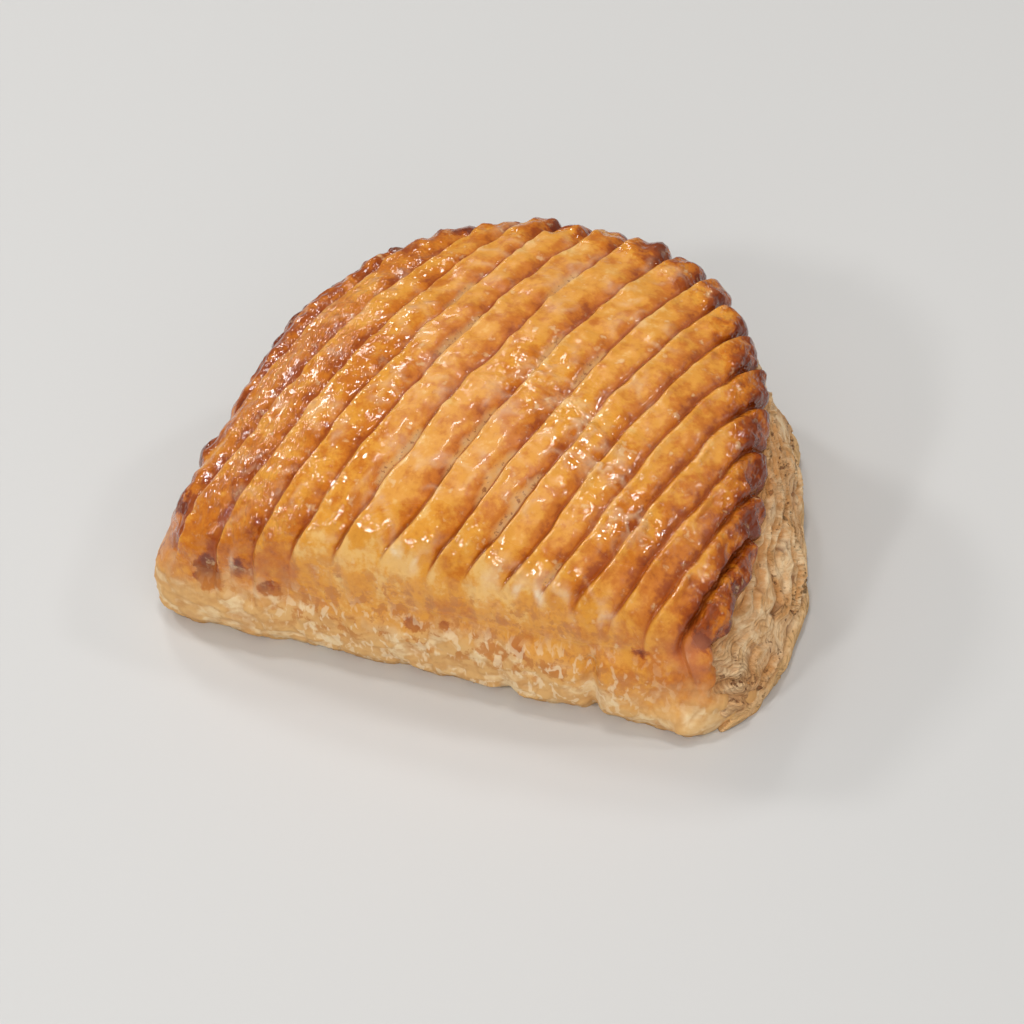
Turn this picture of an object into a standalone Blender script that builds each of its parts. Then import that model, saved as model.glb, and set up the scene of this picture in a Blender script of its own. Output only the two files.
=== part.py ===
"""Half-moon puff pastry turnover, baked, with a scored and puffed top crust.

One body. The dough is folded along the straight front edge and cut round at the back. Metres, +Z up.
X runs along the fold, the fold faces -Y, and the origin is the middle of the box that the base stands in.
"""
import bmesh
import bpy
import numpy as np

# Outline of the folded sheet, seen from above and measured from the middle of its widest line.
LEFT_HALF_WIDTH = 0.0704
RIGHT_HALF_WIDTH = 0.0637
WIDEST_TO_FOLD = 0.0147
WIDEST_TO_BACK = 0.0895
LEFT_FOLD_SQUARENESS = 8.8
RIGHT_FOLD_SQUARENESS = 3.5
LEFT_BACK_SQUARENESS = 2.0
RIGHT_BACK_SQUARENESS = 2.43
SIDEWAYS_LEAN = -0.085
FOLD_SKEW = -0.029

# Rim of the top crust: how far it stands back from the cut edge, and its heights.
RIM_INSET = 0.0066
RIM_HEIGHT_FOLD = 0.0187
RIM_HEIGHT_SIDE = 0.0223
RIM_HEIGHT_BACK = 0.0401

# Dome of the top crust: its rise over the rim along the middle, and the roundness of its shoulders.
FILLING_RISE = 0.0192
RISE_TOWARDS_FOLD = 0.57
RISE_FULLNESS = 0.58
CROSS_ROUNDNESS = 2.7
CROSS_SHOULDER = 1.7

# Strips between the scores, from left to right: relative widths, and how far they puff up and bow.
STRIP_WIDTHS = (
    1.19, 1.19, 1.47, 0.82, 0.83, 0.84, 0.91, 1.07, 1.07,
    0.91, 0.94, 0.94, 0.94, 1.02, 0.99, 0.96, 0.92,
)
STRIP_RISE = 0.0024
STRIP_ROUNDNESS = 2.4
SCORE_BOW = 0.0037
FOLD_CROWDING = 0.072
SCORES_FULL = 0.0280
SCORES_END = 0.0200

# The rim is divided at these angles into the ends of the strips and the flanks of the outer strips.
LEFT_FRONT = np.radians(151.4)
RIGHT_FRONT = np.radians(-8.8)
RIGHT_BACK = np.radians(8.9)
LEFT_BACK = np.radians(127.8)

# Cut side, from the rim down: share of the drop, share of the way out to the outline, and bulge.
CUT_SIDE = (
    (0.04, 0.00, 0.0009),
    (0.11, 0.02, 0.0002),
    (0.19, 0.10, -0.0010),
    (0.38, 0.34, 0.0005),
    (0.58, 0.62, -0.0002),
    (0.74, 0.90, 0.0002),
    (0.81, 1.00, -0.0012),
    (0.89, 1.00, 0.0),
    (0.96, 1.00, -0.0006),
)
FOLD_BULGE = 0.0016
BASE_INSET = 0.0035

# Round the front corners the cut edge turns into the smooth fold, between these sines of the angle.
FOLD_STARTS = -0.17
FOLD_FULL = -0.45

# Slow waves that make the baked dough uneven: size, and waves for each metre along X and Y.
UNEVEN_WAVES = ((0.0006, 23.0, 17.0), (0.0005, -31.0, 41.0), (0.0004, 67.0, 29.0))

COLUMNS_PER_STRIP = 4
ROWS = 30
ROW_CROWDING = 1.2
RIM_SAMPLES = 1500
SLOPE_STEP = 0.0004


def smooth_step(low, high, value):
    """Rise from 0 at low to 1 at high, with level ends."""
    t = np.clip((value - low) / (high - low), 0.0, 1.0)
    return t * t * (3.0 - 2.0 * t)


def fold_share(angle):
    """1 along the folded front, 0 along the cut edge."""
    return smooth_step(FOLD_STARTS, FOLD_FULL, np.sin(angle))


def outline_quarter(x, y, inset):
    """Half width, depth and squareness of the quarter of the outline that holds a point."""
    left, back = x < 0.0, y >= 0.0
    half_width = np.where(left, LEFT_HALF_WIDTH, RIGHT_HALF_WIDTH) - inset
    depth = np.where(back, WIDEST_TO_BACK - inset, WIDEST_TO_FOLD)
    back_squareness = np.where(left, LEFT_BACK_SQUARENESS, RIGHT_BACK_SQUARENESS)
    fold_squareness = np.where(left, LEFT_FOLD_SQUARENESS, RIGHT_FOLD_SQUARENESS)
    return half_width, depth, np.where(back, back_squareness, fold_squareness)


def outline_radius(angle, inset=0.0):
    """Distance from the middle to the outline: nearly square at the fold, round at the back."""
    across, along = np.cos(angle), np.sin(angle)
    half_width, depth, squareness = outline_quarter(across, along, inset)
    power = np.abs(across / half_width) ** squareness + np.abs(along / depth) ** squareness
    return power ** (-1.0 / squareness)


def rim_half_width(x, y):
    """Width of the crust from its middle line to the rim on the side of a point."""
    half_width, depth, squareness = outline_quarter(x, y, RIM_INSET)
    left_over = 1.0 - np.clip(np.abs(y) / depth, 0.0, 1.0) ** squareness
    return half_width * np.maximum(left_over, 1e-9) ** (1.0 / squareness)


def rim_height(angle):
    """Height of the rim: low at the fold, higher at the sides, highest at the back."""
    along = np.sin(angle)
    side = smooth_step(-0.55, 0.15, along)
    back = smooth_step(0.1, 1.0, along)
    behind_fold = RIM_HEIGHT_SIDE * (1.0 - back) + RIM_HEIGHT_BACK * back
    return RIM_HEIGHT_FOLD * (1.0 - side) + behind_fold * side


def unevenness(x, y):
    """Slow waves over the whole pastry."""
    waves = [size * np.sin(2.0 * np.pi * across * x + 1.0) * np.cos(2.0 * np.pi * along * y + 0.5)
             for size, across, along in UNEVEN_WAVES]
    return sum(waves)


def on_rim(start, end, share):
    """Points on the rim between two angles, at the given shares of the way along it."""
    angles = np.linspace(start, end, RIM_SAMPLES)
    radii = outline_radius(angles, RIM_INSET)
    x, y = radii * np.cos(angles), radii * np.sin(angles)
    travelled = np.concatenate([[0.0], np.cumsum(np.hypot(np.diff(x), np.diff(y)))])
    angle = np.interp(share * travelled[-1], travelled, angles)
    radius = outline_radius(angle, RIM_INSET)
    return np.stack([radius * np.cos(angle), radius * np.sin(angle)], axis=-1)


def crust_plan(across, along):
    """Spread a square grid over the crust so that its lines run along the strips.

    across goes from the left strip to the right one, and along from the fold to the cut edge. The
    grid's four sides lie on the rim, and its inside is blended between them.
    """
    crowded = across + FOLD_CROWDING * np.sin(np.pi * across)
    front = on_rim(LEFT_FRONT, 2.0 * np.pi + RIGHT_FRONT, crowded)
    back = on_rim(LEFT_BACK, RIGHT_BACK, across)
    left = on_rim(LEFT_FRONT, LEFT_BACK, along)
    right = on_rim(RIGHT_FRONT, RIGHT_BACK, along)
    ends = np.array([0.0, 1.0])
    left_front, left_back = on_rim(LEFT_FRONT, LEFT_BACK, ends)
    right_front, right_back = on_rim(RIGHT_FRONT, RIGHT_BACK, ends)
    p, q = across[:, None], along[:, None]
    corners = (1 - q) * ((1 - p) * left_front + p * right_front) + q * ((1 - p) * left_back + p * right_back)
    plan = (1 - q) * front + q * back + (1 - p) * left + p * right - corners
    share = np.hypot(*plan.T) / outline_radius(np.arctan2(plan[:, 1], plan[:, 0]), RIM_INSET)
    plan[:, 0] += SCORE_BOW * (1.0 - np.clip(share, 0.0, 1.0) ** 2) ** 1.5
    return plan


def dome_height(x, y):
    """Height of the smooth crust, before the strips puff up."""
    way = np.clip((y + WIDEST_TO_FOLD) / (WIDEST_TO_FOLD + WIDEST_TO_BACK - RIM_INSET), 0.0, 1.0)
    filling = np.clip(np.sin(np.pi * way ** RISE_TOWARDS_FOLD), 0.0, 1.0) ** RISE_FULLNESS
    spine = RIM_HEIGHT_FOLD + (RIM_HEIGHT_BACK - RIM_HEIGHT_FOLD) * way + FILLING_RISE * filling
    share = np.clip(np.abs(x) / rim_half_width(x, y), 0.0, 1.0)
    rim = rim_height(np.arctan2(y, x))
    dome = rim + (spine - rim) * (1.0 - share ** CROSS_ROUNDNESS) ** (1.0 / CROSS_SHOULDER)
    return dome + unevenness(x, y)


def strip_puff(strip_way):
    """Rise of a strip between its two scores, from 0 in the scores to 1 on its back."""
    return 1.0 - np.abs(2.0 * (strip_way % 1.0) - 1.0) ** STRIP_ROUNDNESS


def crust_points(strip_way, along):
    """Points of the scored crust. strip_way counts strips from the left, 0 at the first one's edge."""
    edges = np.concatenate([[0.0], np.cumsum(STRIP_WIDTHS)]) / np.sum(STRIP_WIDTHS)
    across = np.interp(strip_way, np.arange(len(edges)), edges)
    x, y = crust_plan(across, along ** ROW_CROWDING).T
    dome = dome_height(x, y)
    smooth_front = fold_share(np.arctan2(y, x)) * smooth_step(SCORES_FULL, SCORES_END, dome)
    rise = STRIP_RISE * strip_puff(strip_way) * (1.0 - smooth_front)
    slope_x = (dome_height(x + SLOPE_STEP, y) - dome_height(x - SLOPE_STEP, y)) / (2.0 * SLOPE_STEP)
    slope_y = (dome_height(x, y + SLOPE_STEP) - dome_height(x, y - SLOPE_STEP)) / (2.0 * SLOPE_STEP)
    steepness = np.sqrt(1.0 + slope_x ** 2 + slope_y ** 2)
    return np.stack([
        x - rise * slope_x / steepness,
        y - rise * slope_y / steepness,
        dome + rise / steepness,
    ], axis=-1)


def side_ring(rim, drop, way_out, bulge):
    """One level of the side: the rim's points moved down and out towards the outline."""
    x, y, z = rim.T
    angle = np.arctan2(y, x)
    fold = fold_share(angle)
    reach = np.hypot(x, y)
    outline = outline_radius(angle) + unevenness(x, y)
    fold_swell = FOLD_BULGE * np.sin(np.pi * drop)
    radius = reach + (outline - reach) * (way_out * (1.0 - fold) + drop * fold)
    radius = radius + bulge * (1.0 - fold) + fold_swell * fold
    return np.stack([radius * np.cos(angle), radius * np.sin(angle), z * (1.0 - drop)], axis=-1)


def base_ring(rim):
    """The edge of the flat base, tucked in under the side."""
    x, y, _ = rim.T
    angle = np.arctan2(y, x)
    radius = outline_radius(angle) - BASE_INSET
    return np.stack([radius * np.cos(angle), radius * np.sin(angle), np.zeros_like(x)], axis=-1)


def place(verts, points):
    """Move vertices to points of the crust, with the fold turned a little and the back leaning sideways."""
    for vert, (x, y, z) in zip(verts, points):
        towards_fold = min(1.0, (WIDEST_TO_BACK - y) / (WIDEST_TO_BACK + WIDEST_TO_FOLD))
        y += FOLD_SKEW * x * towards_fold ** 2
        vert.co = (x + SIDEWAYS_LEAN * y, y, z)


def build_crust(bm):
    """The scored top: a flat grid whose vertices move onto the crust. Returns each vertex's point."""
    strips = len(STRIP_WIDTHS)
    grid = bmesh.ops.create_grid(bm, x_segments=strips * COLUMNS_PER_STRIP, y_segments=ROWS, size=1.0)["verts"]
    strip_way = np.array([(vert.co.x + 1.0) / 2.0 * strips for vert in grid])
    along = np.array([(vert.co.y + 1.0) / 2.0 for vert in grid])
    points = crust_points(strip_way, along)
    place(grid, points)
    return dict(zip(grid, points))


def extrude_open_edge(bm, rim_points):
    """Extrude the open edge once. Returns the rim's point for each vertex of the new ring."""
    open_edges = [edge for edge in bm.edges if edge.is_boundary]
    made = bmesh.ops.extrude_edge_only(bm, edges=open_edges)["geom"]
    ring = [item for item in made if isinstance(item, bmesh.types.BMVert)]
    above = [next(edge.other_vert(vert) for edge in vert.link_edges if edge.other_vert(vert) in rim_points)
             for vert in ring]
    return {vert: rim_points[parent] for vert, parent in zip(ring, above)}


def build_side(bm, rim_points):
    """The folded front and the cut side, ring by ring below the rim, and the flat base."""
    for drop, way_out, bulge in CUT_SIDE:
        rim_points = extrude_open_edge(bm, rim_points)
        place(rim_points, side_ring(np.array(list(rim_points.values())), drop, way_out, bulge))
    rim_points = extrude_open_edge(bm, rim_points)
    place(rim_points, base_ring(np.array(list(rim_points.values()))))
    base_edge = [edge for edge in bm.edges if edge.is_boundary]
    bmesh.ops.triangle_fill(bm, edges=base_edge, use_beauty=True)


def centre_on_base(bm):
    """Put the origin at the middle of the box that the pastry stands in."""
    places = np.array([vert.co for vert in bm.verts])
    low, high = places.min(axis=0), places.max(axis=0)
    shift = ((low[0] + high[0]) / 2.0, (low[1] + high[1]) / 2.0, low[2])
    bmesh.ops.translate(bm, verts=bm.verts, vec=[-value for value in shift])


def baked_dough():
    """Glazed puff pastry, golden brown."""
    material = bpy.data.materials.new("baked_dough")
    material.use_nodes = True
    shader = material.node_tree.nodes["Principled BSDF"]
    shader.inputs["Base Color"].default_value = (0.61, 0.29, 0.06, 1.0)
    shader.inputs["Roughness"].default_value = 0.38
    shader.inputs["Metallic"].default_value = 0.0
    return material


def build_turnover(collection):
    """The whole pastry as one closed body."""
    bm = bmesh.new()
    build_side(bm, build_crust(bm))
    bmesh.ops.recalc_face_normals(bm, faces=bm.faces)
    centre_on_base(bm)
    mesh = bpy.data.meshes.new("turnover")
    bm.to_mesh(mesh)
    bm.free()
    mesh.shade_smooth()
    mesh.materials.append(baked_dough())
    collection.objects.link(bpy.data.objects.new("turnover", mesh))


def main():
    """Clear the scene and build the pastry in a collection of its own."""
    for item in list(bpy.data.objects):
        bpy.data.objects.remove(item)
    collection = bpy.data.collections.new("turnover_pastry")
    bpy.context.scene.collection.children.link(collection)
    build_turnover(collection)


main()
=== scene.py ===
"""Turnover pastry: a folded half moon of puff dough, scored, egg-washed and baked golden brown."""
import math

import bpy
import numpy as np
from mathutils import Matrix, Vector


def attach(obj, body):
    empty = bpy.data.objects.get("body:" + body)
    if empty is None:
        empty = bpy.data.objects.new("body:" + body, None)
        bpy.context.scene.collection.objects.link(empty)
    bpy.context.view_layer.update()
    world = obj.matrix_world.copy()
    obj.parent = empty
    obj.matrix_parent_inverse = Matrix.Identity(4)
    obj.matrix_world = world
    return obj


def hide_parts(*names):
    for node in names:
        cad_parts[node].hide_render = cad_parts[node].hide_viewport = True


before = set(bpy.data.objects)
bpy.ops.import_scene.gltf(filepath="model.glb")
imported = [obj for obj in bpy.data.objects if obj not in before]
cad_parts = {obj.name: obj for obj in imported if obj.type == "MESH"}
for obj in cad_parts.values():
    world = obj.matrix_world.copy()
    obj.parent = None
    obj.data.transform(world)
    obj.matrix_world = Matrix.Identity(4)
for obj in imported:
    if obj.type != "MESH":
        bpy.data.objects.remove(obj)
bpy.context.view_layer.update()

# ---------------------------------------------------------------------------------------------------
# Folded dough. One sheet of puff dough lies folded over its filling, straight and rolled along the
# front and cut round at the back. Its top is scored into strips that puff up as it bakes, and the whole
# top is egg-washed. This section shapes that skin: the top, the fold and the base, in millimetres.
# ---------------------------------------------------------------------------------------------------
LEFT_HALF_WIDTH, RIGHT_HALF_WIDTH = 70.4, 63.7
WIDEST_TO_FOLD, WIDEST_TO_BACK = 14.7, 89.5
LEFT_FOLD_SQUARENESS, RIGHT_FOLD_SQUARENESS = 8.8, 3.5
LEFT_BACK_SQUARENESS, RIGHT_BACK_SQUARENESS = 2.0, 2.43
SIDEWAYS_LEAN, FOLD_SKEW = -0.085, -0.029
RIM_INSET = 6.6
RIM_HEIGHT_FOLD, RIM_HEIGHT_SIDE, RIM_HEIGHT_BACK = 18.7, 22.3, 40.1
FILLING_RISE, RISE_TOWARDS_FOLD, RISE_FULLNESS = 19.2, 0.57, 0.58
CROSS_ROUNDNESS, CROSS_SHOULDER = 2.7, 1.7
STRIP_WIDTHS = (
    1.19, 1.19, 1.47, 0.82, 0.83, 0.84, 0.91, 1.07, 1.07,
    0.91, 0.94, 0.94, 0.94, 1.02, 0.99, 0.96, 0.92,
)
STRIPS = len(STRIP_WIDTHS)
SCORE_BOW, FOLD_CROWDING = 3.7, 0.072
LEFT_FRONT, RIGHT_FRONT, RIGHT_BACK, LEFT_BACK = np.radians([151.4, -8.8, 8.9, 127.8])


def smooth_step(low, high, value):
    """Rise from 0 at low to 1 at high, with level ends."""
    t = np.clip((value - low) / (high - low), 0.0, 1.0)
    return t * t * (3.0 - 2.0 * t)


def lattice_noise(points, seed):
    """Gradient noise with a grain of 1, about -1 to 1, at an array of points with x, y and z last."""
    cell = np.floor(points).astype(np.int64)
    inside = points - cell
    fade = inside ** 3 * (inside * (inside * 6.0 - 15.0) + 10.0)
    total = np.zeros(points.shape[:-1])
    for corner in np.ndindex(2, 2, 2):
        at = cell + corner
        hashed = (at[..., 0] * 374761393 + at[..., 1] * 668265263 + at[..., 2] * 974634777 + seed * 362437) & 0xFFFFFFFF
        hashed = ((hashed ^ (hashed >> 13)) * 1274126177) & 0xFFFFFFFF
        hashed = ((hashed ^ (hashed >> 15)) * 2246822519) & 0xFFFFFFFF
        slope = np.stack([(hashed >> shift) % 1024 / 511.5 - 1.0 for shift in (2, 12, 21)], axis=-1)
        weight = np.prod(np.where(corner, fade, 1.0 - fade), axis=-1)
        total += weight * np.sum(slope * (inside - corner), axis=-1)
    return total * 1.6


def uneven(points, grain, seed, octaves=1):
    """Noise with a grain in millimetres, and with finer noise added for each further octave."""
    layers = [0.5 ** k * lattice_noise(points * 2.0 ** k / grain, seed + 7 * k) for k in range(octaves)]
    return sum(layers)


def outline_quarter(x, y, inset):
    """Half width, depth and squareness of the quarter of the outline that holds a point."""
    left, back = x < 0.0, y >= 0.0
    half_width = np.where(left, LEFT_HALF_WIDTH, RIGHT_HALF_WIDTH) - inset
    depth = np.where(back, WIDEST_TO_BACK - inset, WIDEST_TO_FOLD)
    back_squareness = np.where(left, LEFT_BACK_SQUARENESS, RIGHT_BACK_SQUARENESS)
    fold_squareness = np.where(left, LEFT_FOLD_SQUARENESS, RIGHT_FOLD_SQUARENESS)
    return half_width, depth, np.where(back, back_squareness, fold_squareness)


def outline_radius(angle, inset=0.0):
    """Distance from the middle to the outline: nearly square at the fold, round at the back."""
    across, along = np.cos(angle), np.sin(angle)
    half_width, depth, squareness = outline_quarter(across, along, inset)
    power = np.abs(across / half_width) ** squareness + np.abs(along / depth) ** squareness
    return power ** (-1.0 / squareness)


def fold_share(angle):
    """1 along the folded front, 0 along the cut edge."""
    return smooth_step(-0.17, -0.45, np.sin(angle))


def cut_share(angle):
    """1 along the rim of the cut edge, 0 where the sheet is rolled at the front."""
    along = np.sin(angle)
    return np.where(np.cos(angle) > 0.0, smooth_step(-0.22, -0.15, along), smooth_step(-0.09, 0.06, along))


def rim_height(angle):
    """Height of the rim: low at the fold, higher at the sides, highest at the back."""
    along = np.sin(angle)
    side, back = smooth_step(-0.55, 0.15, along), smooth_step(0.1, 1.0, along)
    behind_fold = RIM_HEIGHT_SIDE * (1.0 - back) + RIM_HEIGHT_BACK * back
    return RIM_HEIGHT_FOLD * (1.0 - side) + behind_fold * side


def dome_height(x, y):
    """Height of the smooth crust over its filling."""
    way = np.clip((y + WIDEST_TO_FOLD) / (WIDEST_TO_FOLD + WIDEST_TO_BACK - RIM_INSET), 0.0, 1.0)
    filling = np.clip(np.sin(np.pi * way ** RISE_TOWARDS_FOLD), 0.0, 1.0) ** RISE_FULLNESS
    spine = RIM_HEIGHT_FOLD + (RIM_HEIGHT_BACK - RIM_HEIGHT_FOLD) * way + FILLING_RISE * filling
    half_width, depth, squareness = outline_quarter(x, y, RIM_INSET)
    left_over = 1.0 - np.clip(np.abs(y) / depth, 0.0, 1.0) ** squareness
    reach = half_width * np.maximum(left_over, 1e-9) ** (1.0 / squareness)
    share = np.clip(np.abs(x) / reach, 0.0, 1.0)
    rim = rim_height(np.arctan2(y, x))
    return rim + (spine - rim) * (1.0 - share ** CROSS_ROUNDNESS) ** (1.0 / CROSS_SHOULDER)


def on_rim(start, end, share):
    """Points on the rim between two angles, at the given shares of the way along it."""
    angles = np.linspace(start, end, 1500)
    radii = outline_radius(angles, RIM_INSET)
    x, y = radii * np.cos(angles), radii * np.sin(angles)
    travelled = np.concatenate([[0.0], np.cumsum(np.hypot(np.diff(x), np.diff(y)))])
    angle = np.interp(share * travelled[-1], travelled, angles)
    radius = outline_radius(angle, RIM_INSET)
    return np.stack([radius * np.cos(angle), radius * np.sin(angle)], axis=-1)


def crust_plan(across, along):
    """Spread a grid over the crust so that its lines run along the strips, from the fold to the cut edge."""
    front = on_rim(LEFT_FRONT, 2.0 * np.pi + RIGHT_FRONT, across + FOLD_CROWDING * np.sin(np.pi * across))[:, None]
    back = on_rim(LEFT_BACK, RIGHT_BACK, across)[:, None]
    left = on_rim(LEFT_FRONT, LEFT_BACK, along)[None]
    right = on_rim(RIGHT_FRONT, RIGHT_BACK, along)[None]
    p, q = across[:, None, None], along[None, :, None]
    corners = (1 - q) * ((1 - p) * left[:, :1] + p * right[:, :1]) + q * ((1 - p) * left[:, -1:] + p * right[:, -1:])
    plan = (1 - q) * front + q * back + (1 - p) * left + p * right - corners
    share = np.hypot(*plan.T).T / outline_radius(np.arctan2(plan[..., 1], plan[..., 0]), RIM_INSET)
    plan[..., 0] += SCORE_BOW * (1.0 - np.clip(share, 0.0, 1.0) ** 2) ** 1.5
    return plan, np.clip(share, 0.0, 1.0)


def surface_normals(points):
    """Outward normals of a grid of points."""
    normals = np.cross(np.gradient(points, axis=0), np.gradient(points, axis=1))
    return normals / np.maximum(np.linalg.norm(normals, axis=-1, keepdims=True), 1e-12)


def placed(points):
    """Points of the crust in the frame, with the fold turned a little and the back leaning sideways."""
    x, y, z = np.moveaxis(points, -1, 0)
    towards_fold = np.minimum(1.0, (WIDEST_TO_BACK - y) / (WIDEST_TO_BACK + WIDEST_TO_FOLD))
    y = y + FOLD_SKEW * x * towards_fold ** 2
    return np.stack([x + SIDEWAYS_LEAN * y, y, z], axis=-1)


def mesh_object(name, points, faces, masks):
    """A smooth-shaded mesh object from points in millimetres, with a named value for each vertex."""
    mesh = bpy.data.meshes.new(name)
    mesh.from_pydata((points / 1000.0).tolist(), [], faces)
    for label, values in masks.items():
        mesh.attributes.new(label, "FLOAT", "POINT").data.foreach_set("value", np.ravel(values).astype(np.float32))
    mesh.shade_smooth()
    piece = bpy.data.objects.new(name, mesh)
    bpy.context.scene.collection.objects.link(piece)
    return piece


def quad_strip(low, high):
    """Faces between two closed rings of vertex numbers."""
    return list(zip(low.tolist(), np.roll(low, -1).tolist(), np.roll(high, -1).tolist(), high.tolist()))


# The scores: how far the dough puffs up between them, and how they open. Each strip rises steeply at its
# left edge and slopes gently down into the score on its right.
COLUMNS_PER_STRIP, CRUST_ROWS, ROW_CROWDING = 16, 200, 1.35
STRIP_RISE, STEEP_SHARE, SLOPE_STARTS = 0.80, 0.16, 0.55
SCORE_DEPTH, SCORE_HALF_WIDTH = 0.55, 0.40
SCORES_FULL, SCORES_END = 34.0, 26.0
RIM_LOBE = 0.8
# Scores that tore open: which score, where along it, how long, and half how wide (millimetres).
OPEN_SCORES = (
    (10, 0.18, 0.085, 0.8), (9, 0.22, 0.075, 0.65), (8, 0.28, 0.10, 0.6), (7, 0.21, 0.07, 0.8), (7, 0.75, 0.07, 0.5),
    (9, 0.56, 0.07, 0.6), (8, 0.56, 0.065, 0.5), (6, 0.54, 0.07, 0.7), (12, 0.075, 0.03, 0.6), (5, 0.66, 0.06, 0.5),
)

# Strips that stick out at the left: degrees round the rim, how wide, and millimetres out.
LEFT_LOBES = ((169.0, 4.0, 1.5), (182.0, 5.0, 1.6))
# Places in the middle where skin bridges the scores: across and along, in millimetres.
BRIDGES = ((16.2, 23.5), (27.5, 11.5), (35.0, 2.8), (8.0, 31.0), (21.0, 20.0))

even_way = np.linspace(0.0, STRIPS, STRIPS * COLUMNS_PER_STRIP + 1)
strip_way = even_way - 0.085 * np.sin(2.0 * math.pi * even_way)
edges = np.concatenate([[0.0], np.cumsum(STRIP_WIDTHS)]) / np.sum(STRIP_WIDTHS)
across = np.interp(strip_way, np.arange(STRIPS + 1), edges)
along = np.linspace(0.0, 1.0, CRUST_ROWS + 1) ** ROW_CROWDING
plan, rim_share = crust_plan(across, along)
x, y = plan[..., 0], plan[..., 1]
angle = np.arctan2(y, x)
smooth_crust = np.stack([x, y, dome_height(x, y)], axis=-1)
flat = np.stack([x, y, np.zeros_like(x)], axis=-1)

pitch = np.linalg.norm(np.gradient(smooth_crust, strip_way, axis=0), axis=-1)
pitch = np.maximum(pitch, 2.0)
wandering = strip_way[:, None] + (0.8 * uneven(flat, 12.0, 3) + 0.34 * uneven(flat, 5.0, 4)) / pitch
wandering = np.clip(wandering, 0.0, STRIPS - 1e-6)
nearest, score_ahead = np.round(wandering), np.ceil(wandering)
off_score, before_score = np.abs(wandering - nearest) * pitch, (score_ahead - wandering) * pitch
inner_score = (nearest > 0.5) & (nearest < STRIPS - 0.5)
open_width = np.zeros_like(x)
for score, middle, length, half in OPEN_SCORES:
    here = np.exp(-((along[None] - middle) / length) ** 4) * (score_ahead == score)
    open_width = np.maximum(open_width, 2.0 * half * here * (1.0 + 0.4 * uneven(flat, 3.5, 11)))
fold_end = 3.0 * uneven(flat, 12.0, 5) - 3.0 * smooth_step(0.0, 40.0, x) - 4.0 * smooth_step(-12.0, -40.0, x)
fading = 1.0 - fold_share(angle) * smooth_step(SCORES_FULL + fold_end, SCORES_END + fold_end, smooth_crust[..., 2])
firm = smooth_step(-0.75, 0.05, uneven(flat, 13.0, 6))
on_right = smooth_step(0.0, 38.0, x)
near_rim = smooth_step(0.84, 0.96, rim_share) * cut_share(angle)
score_end = fold_share(angle) * np.exp(-((smooth_crust[..., 2] - SCORES_FULL - fold_end) / 4.5) ** 2)
bridged, wide_bridge = np.zeros_like(x), np.zeros_like(x)
for bridge_x, bridge_y in BRIDGES:
    wide_bridge = np.maximum(wide_bridge, np.exp(-(((x - bridge_x) / 8.5) ** 2 + ((y - bridge_y) / 7.5) ** 2)))
    bridged = np.maximum(bridged, np.exp(-(((x - bridge_x) / 4.5) ** 2 + ((y - bridge_y) / 3.5) ** 2)))
width = SCORE_HALF_WIDTH * (1.0 + 0.35 * uneven(flat, 6.0, 8))
open_cut = smooth_step(open_width + 0.4, open_width - 0.4, before_score) * smooth_step(0.0, 0.3, before_score)
open_cut = open_cut * smooth_step(0.3, 0.9, open_width) * fading * (1.0 - 0.8 * bridged)
closed_cut = np.exp(-(off_score / width) ** 2) * (0.65 + 0.35 * firm) * inner_score * fading
closed_cut = closed_cut * (1.0 - 0.6 * open_cut) * (1.0 - 0.8 * bridged)
score_depth = SCORE_DEPTH * (1.0 - 0.35 * on_right + 0.5 * near_rim + 0.9 * score_end)
fraction = wandering % 1.0
steep_edge = np.exp(-((fraction - STEEP_SHARE) / 0.07) ** 2) * fading
puff = smooth_step(0.0, STEEP_SHARE, fraction) * smooth_step(1.03, SLOPE_STARTS + 0.2 * on_right, fraction) * fading ** 1.5
hem = smooth_step(0.93, 0.99, rim_share) * cut_share(angle)
middle = np.exp(-((wandering - 8.3) / 3.2) ** 2) * smooth_step(0.95, 0.6, along[None])
strip_rise = (STRIP_RISE + 0.6 * middle) * (1.0 - 0.5 * on_right) * (1.0 + 0.35 * uneven(flat, 12.0, 2))
rim_lobe = RIM_LOBE * (0.5 + smooth_step(0.3, 0.8, np.sin(angle)))
rise = strip_rise * puff * (1.0 - 0.5 * hem) + rim_lobe * (puff - 0.45) * near_rim
rise = rise + 0.40 * steep_edge * smooth_step(-0.2, 0.4, uneven(flat, 5.0, 10))
rise = rise - score_depth * closed_cut * (1.0 + 0.3 * uneven(flat, 5.0, 9))
rise = rise - open_cut * (0.55 + 0.18 * uneven(flat, 1.6, 20))

# Webs of skin bridge the scores in the middle, and wet dough dried pale where scores end.
bridge = np.clip(1.0 - np.abs(uneven(flat * (1.0, 0.8, 1.0), 3.2, 17, 2)) / 0.30, 0.0, 1.0) * bridged
rise = rise + 0.5 * bridge
veins = np.clip(1.0 - np.abs(uneven(flat * (1.0, 1.0, 0.0), 5.0, 19)) / 0.22, 0.0, 1.0)
film = np.exp(-((fading - 0.6) / 0.35) ** 2) * smooth_step(-0.1, 0.35, uneven(flat, 9.0, 18)) * veins
film = film * smooth_step(46.0, 38.0, np.abs(x + 8.0))
rise = rise + 0.3 * film
film = np.maximum(film, 0.35 * bridge)

pale_fold = fold_share(angle) * np.exp(-((smooth_crust[..., 2] - 29.0) / 5.0) ** 2) * smooth_step(30.0, 5.0, x)
pale_fold = pale_fold * smooth_step(-0.5, 0.2, uneven(flat, 7.0, 45))

# The last score sinks into a deep groove by the rim; its band, carried in the hem mask, browns the colour and paints
# the groove's shade.
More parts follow.
